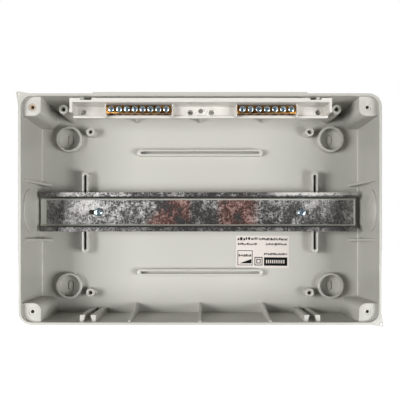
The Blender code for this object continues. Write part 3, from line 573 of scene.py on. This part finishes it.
for side in (-1, 1):
    x = side * (rail_post_x + slot_out) + rail_shift
    cut = block(
        (x - slot_half_x, web - sheet - past, -slot_half_z), (x + slot_half_x, web + past, slot_half_z),
    )
    slots.append(soften(cut, edges(cut, "y"), slot_half_z - 0.01, 8))
worked(rail, "DIFFERENCE", slots)

# Hot-dip galvanised steel: a bright skin that mirrors the dim room, overgrown with frosty zinc flecks about a
# millimetre wide that lie along and across the strip, in clouds a centimetre wide. The rolled bends are
# smooth. Painted highlights brighten the top flange, the web's inner bends and the web's two ends, and a warm
# brown reflection is painted on the web in two places.
galvanised, tree, shader, place = surface("galvanised_strip")
values = {}
for name, stretch in (("level_flecks", (0.4, 1.0, 1.0)), ("upright_flecks", (1.0, 1.0, 0.4))):
    drawn = add(tree, "ShaderNodeMapping", {"Vector": place, "Scale": stretch})
    values[name] = add(tree, "ShaderNodeTexNoise", {
        "Vector": drawn.outputs["Vector"], "Scale": 1 / (1.0 * MM), "Detail": 4.0, "Roughness": 0.7,
    }).outputs["Fac"]
values["clouds"] = add(tree, "ShaderNodeTexNoise", {
    "Vector": place, "Scale": 1 / (11.0 * MM), "Detail": 4.0, "Roughness": 0.65,
}).outputs["Fac"]
parted = add(tree, "ShaderNodeSeparateXYZ", {"Vector": place})
values["x"], values["z"] = parted.outputs["X"], parted.outputs["Z"]

# Each row names a value and says how it is made from those before it. RISE goes smoothly from 0 at its first
# number to 1 at its second. Places along x, z and height are in metres from the rail's middle.
for name, kind, *terms in (
    ("height", "ABSOLUTE", "z"),
    ("flecks", "MAXIMUM", "level_flecks", "upright_flecks"),
    ("cloudy", "MULTIPLY", "clouds", 0.38),
    ("even_frost", "MULTIPLY_ADD", "flecks", 0.62, "cloudy"),
    ("left_half", "RISE", "x", -0.03, -0.1),
    ("frost", "MULTIPLY_ADD", "left_half", 0.035, "even_frost"),
    ("above_web", "RISE", "height", 0.0106, 0.0114),
    ("below_flange", "RISE", "height", 0.0142, 0.0136),
    ("bend", "MULTIPLY", "above_web", "below_flange"),
    ("left_end", "RISE", "x", -0.1385, -0.1395),
    ("smooth", "MAXIMUM", "bend", "left_end"),
    ("open_skin", "SUBTRACT", 1.0, "smooth"),
    ("frosted", "RISE", "frost", 0.5, 0.66),
    ("flecked", "MULTIPLY", "frosted", "open_skin"),
    ("above_low_flange", "RISE", "z", -0.0146, -0.013),
    ("thickness", "MULTIPLY_ADD", "above_low_flange", 0.45, 0.55),
    ("frost_cover", "MULTIPLY", "flecked", "thickness"),
    # The next five rows paint a highlight along the top flange in the paler frost colour.
    ("highlight_length", "RISE", "x", 0.045, 0.085),
    ("highlight_height", "RISE", "z", 0.0146, 0.0152),
    ("highlight_edge", "RISE", "frost", 0.42, 0.5),
    ("highlight_band", "MULTIPLY", "highlight_height", "highlight_edge"),
    ("flange_highlight", "MULTIPLY", "highlight_length", "highlight_band"),
    ("cover", "MAXIMUM", "frost_cover", "flange_highlight"),
    # The next seven rows mark painted highlights on the web's inner bends and painted reflections at its
    # ends.
    ("inner", "RISE", "height", 0.0126, 0.0122),
    ("fillet_start", "RISE", "height", 0.0108, 0.0112),
    ("fillet", "MULTIPLY", "fillet_start", "inner"),
    ("right_end", "RISE", "x", 0.1386, 0.1392),
    ("ends", "MAXIMUM", "left_end", "right_end"),
    ("painted_end_reflections", "MULTIPLY", "ends", "inner"),
    ("bright", "MAXIMUM", "fillet", "painted_end_reflections"),
    ("satin", "MAXIMUM", "cover", "bright"),
    # From here the rows paint a patchy warm brown reflection on the web, in two places.
    ("slant", "MULTIPLY_ADD", "z", -0.9, "x"),
    ("left_reflection_start", "RISE", "slant", -0.044, -0.034),
    ("left_reflection_stop", "RISE", "x", -0.006, -0.012),
    ("left_reflection", "MULTIPLY", "left_reflection_start", "left_reflection_stop"),
    ("right_reflection_start", "RISE", "x", 0.012, 0.022),
    ("right_reflection_stop", "RISE", "x", 0.056, 0.044),
    ("warm_reflections", "MULTIPLY_ADD", "right_reflection_start", "right_reflection_stop", "left_reflection"),
    ("on_web", "RISE", "height", 0.0114, 0.0106),
    ("web_reflections", "MULTIPLY", "warm_reflections", "on_web"),
    ("patchy", "RISE", "clouds", 0.36, 0.5),
    ("patchy_reflections", "MULTIPLY", "web_reflections", "patchy"),
    ("painted_warm_reflection", "MULTIPLY", "patchy_reflections", 0.55),
):
    terms = [values.get(term, term) for term in terms]
    if kind == "RISE":
        inputs = dict(zip(("Value", "From Min", "From Max"), terms))
        node = add(tree, "ShaderNodeMapRange", inputs, interpolation_type="SMOOTHSTEP")
    else:
        node = add(tree, "ShaderNodeMath", dict(enumerate(terms)), operation=kind)
    values[name] = node.outputs[0]
skin = add(tree, "ShaderNodeMix", {
    "Factor": values["cover"], "A": linear("#868483"), "B": linear("#cfcdca"),
}, data_type="RGBA")
# Painted highlights and end reflections: the marked places are painted paler.
painted_highlight_mix = add(tree, "ShaderNodeMix", {
    "Factor": values["bright"], "A": skin.outputs["Result"], "B": linear("#d9dcd4"),
}, data_type="RGBA")
# A warm brown reflection painted on the web.
with_warm_reflection = add(tree, "ShaderNodeMix", {
    "Factor": values["painted_warm_reflection"], "A": painted_highlight_mix.outputs["Result"], "B": linear("#b4705f"),
}, data_type="RGBA")
dull = add(tree, "ShaderNodeMapRange", {"Value": values["satin"], "To Min": 0.24, "To Max": 0.55})
shader.inputs["Metallic"].default_value = 1.0
tree.links.new(with_warm_reflection.outputs["Result"], shader.inputs["Base Color"])
tree.links.new(dull.outputs["Result"], shader.inputs["Roughness"])
finished(rail, galvanised, "rail", "galvanised_steel", "din_rail")

# Pan-head screws, zinc plated and blue passivated, with a cross recess: one through each slot of the rail.
# A screw is turned, its recess is punched, and its crown is a little domed.


def pan_screw(head, head_high, shank, length, spun):
    """A pan-head screw with a cross recess, its head's underside at the origin and its head towards -Y."""
    shape = bmesh.new()
    crown = [(0.0, 1.0), (0.45, 0.985), (0.7, 0.94), (0.87, 0.85), (0.96, 0.68), (1.0, 0.42)]
    points = [(head * u, -head_high * v) for u, v in crown] + [
        (head, -0.05), (0.96 * head, 0.0), (shank, 0.0), (shank, length - 0.6 * shank), (0.4 * shank, length),
        (0.0, length),
    ]
    corners = [shape.verts.new((x, y, 0.0)) for x, y in points]
    line = [shape.edges.new(pair) for pair in zip(corners, corners[1:])]
    bmesh.ops.spin(
        shape, geom=corners + line, axis=(0, 1, 0), cent=(0, 0, 0), steps=40, angle=math.tau, use_merge=True,
        use_duplicate=False,
    )
    bmesh.ops.remove_doubles(shape, verts=shape.verts, dist=0.001)
    bmesh.ops.recalc_face_normals(shape, faces=shape.faces)
    arm, thick, deep = head * 0.62, head * 0.13, head_high * 0.6
    punches = []
    for wide, high in ((arm, thick), (thick, arm)):
        punch = block((-wide, -head_high - past, -high), (wide, deep - head_high, high))
        for corner in punch.verts:
            if corner.co.y > -head_high:
                corner.co.x *= 0.7
                corner.co.z *= 0.7
        punches.append(punch)
    turned = regained(worked(loose(shape, "screw"), "DIFFERENCE", punches))
    bmesh.ops.rotate(turned, cent=(0, 0, 0), matrix=Matrix.Rotation(spun, 3, "Y"), verts=turned.verts)
    return turned


# Bright zinc plate, blue passivated: nearly mirror smooth and faintly blue. A haze from handling, in patches
# about a millimetre wide, dulls it unevenly.
zinc, tree, shader, place = surface("blue_zinc_plated_steel")
haze = add(tree, "ShaderNodeTexNoise", {"Vector": place, "Scale": 1 / (1.2 * MM), "Detail": 3.0})
tint = add(tree, "ShaderNodeMix", {
    "Factor": haze.outputs["Fac"], "A": linear("#8fb4cb"), "B": linear("#dfe9ec"),
}, data_type="RGBA")
gloss = add(tree, "ShaderNodeMapRange", {
    "Value": haze.outputs["Fac"], "From Min": 0.3, "From Max": 0.7, "To Min": 0.16, "To Max": 0.3,
})
shader.inputs["Metallic"].default_value = 1.0
tree.links.new(tint.outputs["Result"], shader.inputs["Base Color"])
tree.links.new(gloss.outputs["Result"], shader.inputs["Roughness"])

screw_head, screw_head_high, screw_shank, screw_long, screw_seat = 3.75, 2.4, 1.95, 11.0, -16.0
for name, side, spun in (("left", -1, 0.35), ("right", 1, 0.9)):
    shape = pan_screw(screw_head, screw_head_high, screw_shank, screw_long, spun)
    bmesh.ops.translate(shape, vec=(side * rail_post_x, screw_seat, 0), verts=shape.verts)
    screw = loose(shape, f"rail_screw_head_{name}")
    finished(screw, zinc, f"{name}_rail_screw", "zinc_plated_steel", f"rail_screw_{name}")

# The terminal holder: a trough moulded in cream plastic, pushed into the two upper channels by its keys.
# It is open to the front, with a lip below, screw bosses at its middle and ends, and clips round each bar.
holder_low, holder_high = (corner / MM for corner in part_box("terminal_holder"))
left, right, bottom, top = holder_low.x, holder_high.x, holder_low.z, holder_high.z
front, back = rim + 4.0, rim + 25.0
plate_front, lip_front, under_top = back - 1.5, back - 4.0, top - 3.4
shift = (left + right) / 2
trough = block((left, front, under_top), (right, back, top))
soften(trough, edges(trough, "x", y=front), 0.3)
holder = loose(trough, "terminal_holder_trough")
grown = [
    block((left, plate_front, bottom), (right, back, top - 1.0)),
    block((left, lip_front, bottom), (right, back, bottom + 2.0)),
]
soften(grown[1], edges(grown[1], "x", y=lip_front), 0.3)
step = bottom + 1.7
for low, high in ((left, left + 2.2), (right - 2.2, right)):
    end = slab(
        [(back, bottom), (lip_front, bottom), (lip_front, step), (front, step), (front, top), (back, top)],
        "x", low, high,
    )
    grown.append(soften(end, facing(end, front), 0.25))
bored, boss_z, end_boss = [], top - 8.4, (right - left) / 2 - 8.0
for across, size, up in ((-end_boss, 1, 0), (-9.0, 1, 0), (0.0, 0.9, 1.3), (9.0, 1, 0), (end_boss, 1, 0)):
    grown.append(peg(shift + across, boss_z + up, 3.9 * size, plate_front - 0.5, back + 6.0, 0.3))
    bored.append(peg(shift + across, boss_z + up, 2.4 * size, lip_front - past, back + 12.0, segments=32))
bars = {name: [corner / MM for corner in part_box(name)] for name in ("neutral_bar", "earth_bar")}
for low, high in bars.values():
    for near, far in ((low.x - 1.3, low.x - 0.3), (high.x + 0.3, high.x + 1.3)):
        clip = block((near, low.y + 1.0, bottom), (far, back, top - 1.0))
        grown.append(soften(clip, edges(clip, "z", y=low.y + 1.0), 0.3))
spare, slot_front = 0.3, front + 2.1
wall_z = half_h - wall - draft / 2
for side_x in (-1, 1):
    for side in (-1, 1):
        clear = wall_z - upper_proud - spare
        points = [
            (throat - spare, wall_z + root), (outer + spare, wall_z + root), (outer + spare, clear),
            (mouth - spare, clear), (throat - spare, wall_z),
        ]
        outline = [(side_x * channel_x + side * u, v) for u, v in points]
        bored.append(slab(outline, "y", slot_front, back + past))
    key_x, key_half = side_x * channel_x, throat + 0.5
    bored.append(block(
        (key_x - key_half, slot_front, top - upper_proud), (key_x + key_half, back - 13.0, top + past),
    ))
    notch_x, notch_half, notch_deep = side_x * (channel_x + 1.9) + 0.65, 4.7, 1.7
    bored.append(block(
        (notch_x - notch_half, front - past, top - notch_deep),
        (notch_x + notch_half, slot_front + past, top + past),
    ))
worked(holder, "UNION", grown)
worked(holder, "DIFFERENCE", bored)
# Moulded polyamide, cream: glossier than the box, with hardly any grain.
holder_plastic = moulded("moulded_pa_cream", "#d5d2cc", "#d0ccc6", 0.12, 1.2, 0.04)
finished(holder, holder_plastic, "holder", "holder_plastic", "terminal_holder")

# The terminal bars: drawn brass bar, sawn to length, cross-drilled for the wires from below and tapped from
# the front for the clamp screws, with eight ways on the left and seven on the right. The brass has drawing
# lines half a millimetre apart, and tarnish in patches a few millimetres wide.
brass, tree, shader, place = surface("drawn_brass")
drawn = add(tree, "ShaderNodeMapping", {"Vector": place, "Scale": (0.05, 1.0, 1.0)})
lines = add(tree, "ShaderNodeTexNoise", {
    "Vector": drawn.outputs["Vector"], "Scale": 1 / (0.5 * MM), "Detail": 3.0,
})
tarnish = add(tree, "ShaderNodeTexNoise", {"Vector": place, "Scale": 1 / (4.0 * MM), "Detail": 4.0})
colour = add(tree, "ShaderNodeValToRGB", {"Fac": tarnish.outputs["Fac"]}, stops=[
    (0.35, linear("#6e451c")), (0.65, linear("#c4924e")),
])
scratch = add(tree, "ShaderNodeBump", {
    "Height": lines.outputs["Fac"], "Strength": 0.15, "Distance": relief_depth,
})
shader.inputs["Metallic"].default_value = 1.0
shader.inputs["Roughness"].default_value = 0.25
tree.links.new(colour.outputs["Color"], shader.inputs["Base Color"])
tree.links.new(scratch.outputs["Normal"], shader.inputs["Normal"])

ways = {"neutral": (8, 6.6), "earth": (7, 6.84)}  # how many, and how far apart
tapped_radius, tapped_deep, wire_radius, wire_in = 2.0, 7.0, 2.3, 4.2
for name, (count, pitch) in ways.items():
    low, high = bars[name + "_bar"]
    blank = block(low, high)
    soften(blank, blank.edges[:], 0.35, 2)
    bar = loose(blank, name + "_terminal_bar")
    holes, middle_x, middle_z = [], (low.x + high.x) / 2, (low.z + high.z) / 2
    for way in range(count):
        x = middle_x + (way - (count - 1) / 2) * pitch
        holes.append(peg(x, middle_z, tapped_radius, low.y - past, low.y + tapped_deep, segments=24))
        wire = bmesh.new()
        bmesh.ops.create_cone(
            wire, cap_ends=True, segments=28, radius1=wire_radius, radius2=wire_radius,
            depth=high.z - low.z + 2 * past, matrix=Matrix.Translation((x, low.y + wire_in, middle_z)),
        )
        holes.append(wire)
    worked(bar, "DIFFERENCE", holes)
    finished(bar, brass, "holder", "brass", name + "_bar")

# The clamp screws: one over each wire hole, of the same zinc plated steel as the rail's screws but smaller.
# Each was driven on its own, so their recesses are turned every way.
turns = random.Random(7)
clamp_head, clamp_head_high, clamp_shank, clamp_long = 2.65, 2.0, 1.7, 6.0
for name, (count, pitch) in ways.items():
    for way in range(count):
        node = f"{name}_screw_{way + 1}"
        low, high = (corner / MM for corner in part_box(node))
        shape = pan_screw(clamp_head, clamp_head_high, clamp_shank, clamp_long, turns.uniform(0, math.pi))
        seat = ((low.x + high.x) / 2, low.y + clamp_head_high, (low.z + high.z) / 2)
        bmesh.ops.translate(shape, vec=seat, verts=shape.verts)
        finished(loose(shape, f"clamp_{node}"), zinc, node, "zinc_plated_steel", node)

# The rating label: coated white paper stuck on the floor, a little askew. Its corners are slightly rounded,
# and its fibres show as a faint mottle a few millimetres wide.
label_low, label_high = (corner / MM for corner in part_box("rating_label"))
label_x, label_z = (label_low.x + label_high.x) / 2, (label_low.z + label_high.z) / 2
label_w, label_h, askew = 49.1, 29.5, math.radians(0.5)


def laid(shape):
    """A shape drawn round the label's centre, turned and moved to its place."""
    bmesh.ops.rotate(shape, cent=(0, 0, 0), matrix=Matrix.Rotation(askew, 3, "Y"), verts=shape.verts)
    bmesh.ops.translate(shape, vec=(label_x, 0, label_z), verts=shape.verts)
    return shape


sheet_front = label_low.y
paper, tree, shader, place = surface("coated_label_paper")
fibres = add(tree, "ShaderNodeTexNoise", {"Vector": place, "Scale": 1 / (3.0 * MM), "Detail": 4.0})
shade = add(tree, "ShaderNodeMix", {
    "Factor": fibres.outputs["Fac"], "A": linear("#d6cfc9"), "B": linear("#cec6bf"),
}, data_type="RGBA")
shader.inputs["Roughness"].default_value = 0.45
tree.links.new(shade.outputs["Result"], shader.inputs["Base Color"])
stock = block((-label_w / 2, sheet_front, -label_h / 2), (label_w / 2, label_high.y, label_h / 2))
soften(stock, edges(stock, "y"), 0.5, 3)
finished(loose(laid(stock), "label_stock"), paper, "base", "label_paper", "rating_label")

# The print: matt black ink, a hundredth of a millimetre proud. Rows of plain blocks stand where lines of type
# would be, with two framed squares beside them and a black panel that has white gaps.
ink, tree, shader, place = surface("black_printing_ink")
wear = add(tree, "ShaderNodeTexNoise", {"Vector": place, "Scale": 1 / (0.8 * MM), "Detail": 2.0})
black = add(tree, "ShaderNodeMix", {
    "Factor": wear.outputs["Fac"], "A": linear("#060606"), "B": linear("#141312"),
}, data_type="RGBA")
shader.inputs["Roughness"].default_value = 0.7
shader.inputs["Specular IOR Level"].default_value = 0.1
tree.links.new(black.outputs["Result"], shader.inputs["Base Color"])
ink_shape, ink_thick = bmesh.new(), 0.01


def inked(*corners):
    """A flat patch of ink; its corners are measured from the label's left and top edges."""
    places = [(u - label_w / 2, sheet_front, label_h / 2 - v) for u, v in corners]
    ink_shape.faces.new([ink_shape.verts.new(place) for place in places])


def mark(x0, y0, x1, y1):
    """A rectangle of ink."""
    inked((x0, y0), (x1, y0), (x1, y1), (x0, y1))


def frame_of(x0, y0, x1, y1, line):
    """Four bars round a rectangle."""
    mark(x0, y0, x1, y0 + line)
    mark(x0, y1 - line, x1, y1)
    mark(x0, y0 + line, x0 + line, y1 - line)
    mark(x1 - line, y0 + line, x1, y1 - line)


def row_of(x0, y0, x1, y1, stroke, letters):
    """A row of small blocks, each a little different, where a line of type would be."""
    x = x0
    while x < x1 - stroke:
        width = min(letters.uniform(1.0, 2.6) * stroke, x1 - x)
        head = y0 + (y1 - y0) * letters.choice((0.0, 0.0, 0.3))
        foot = y1 - (y1 - y0) * letters.choice((0.0, 0.0, 0.2))
        mark(x, head, x + width, foot)
        x += width + stroke * letters.uniform(0.5, 0.9)


letters = random.Random(11)
row_of(1.5, 1.5, 20.0, 4.4, 0.95, letters)
row_of(21.0, 1.9, 47.7, 4.2, 0.55, letters)
row_of(2.0, 6.7, 20.0, 8.9, 0.5, letters)
row_of(27.7, 6.7, 47.7, 8.9, 0.5, letters)
row_of(26.0, 15.9, 47.7, 17.8, 0.45, letters)
row_of(2.6, 17.2, 14.4, 19.4, 0.5, letters)
frame_of(1.6, 13.6, 15.5, 27.5, 0.6)
frame_of(17.3, 19.6, 24.7, 27.5, 0.8)
frame_of(19.0, 21.4, 23.0, 25.7, 0.8)
panel_left, panel_right, gap_top, gap_foot = 26.1, 47.7, 22.3, 25.4
mark(panel_left, 19.9, panel_right, gap_top)
mark(panel_left, gap_foot, panel_right, 27.7)
mark(panel_left, gap_top, 28.0, gap_foot)
mark(45.0, gap_top, panel_right, gap_foot)
for i in range(9):
    x = 29.5 + i * 1.75
    mark(x - 0.45, gap_top, x + 0.45, gap_foot)
inked((3.4, 25.7), (14.5, 25.7), (14.5, 21.5))
printed = loose(laid(pulled_out(ink_shape, Vector((0, -ink_thick, 0)))), "label_print")
printed.data.transform(Matrix.Scale(MM, 4))
printed.data.materials.append(ink)
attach(printed, "base")
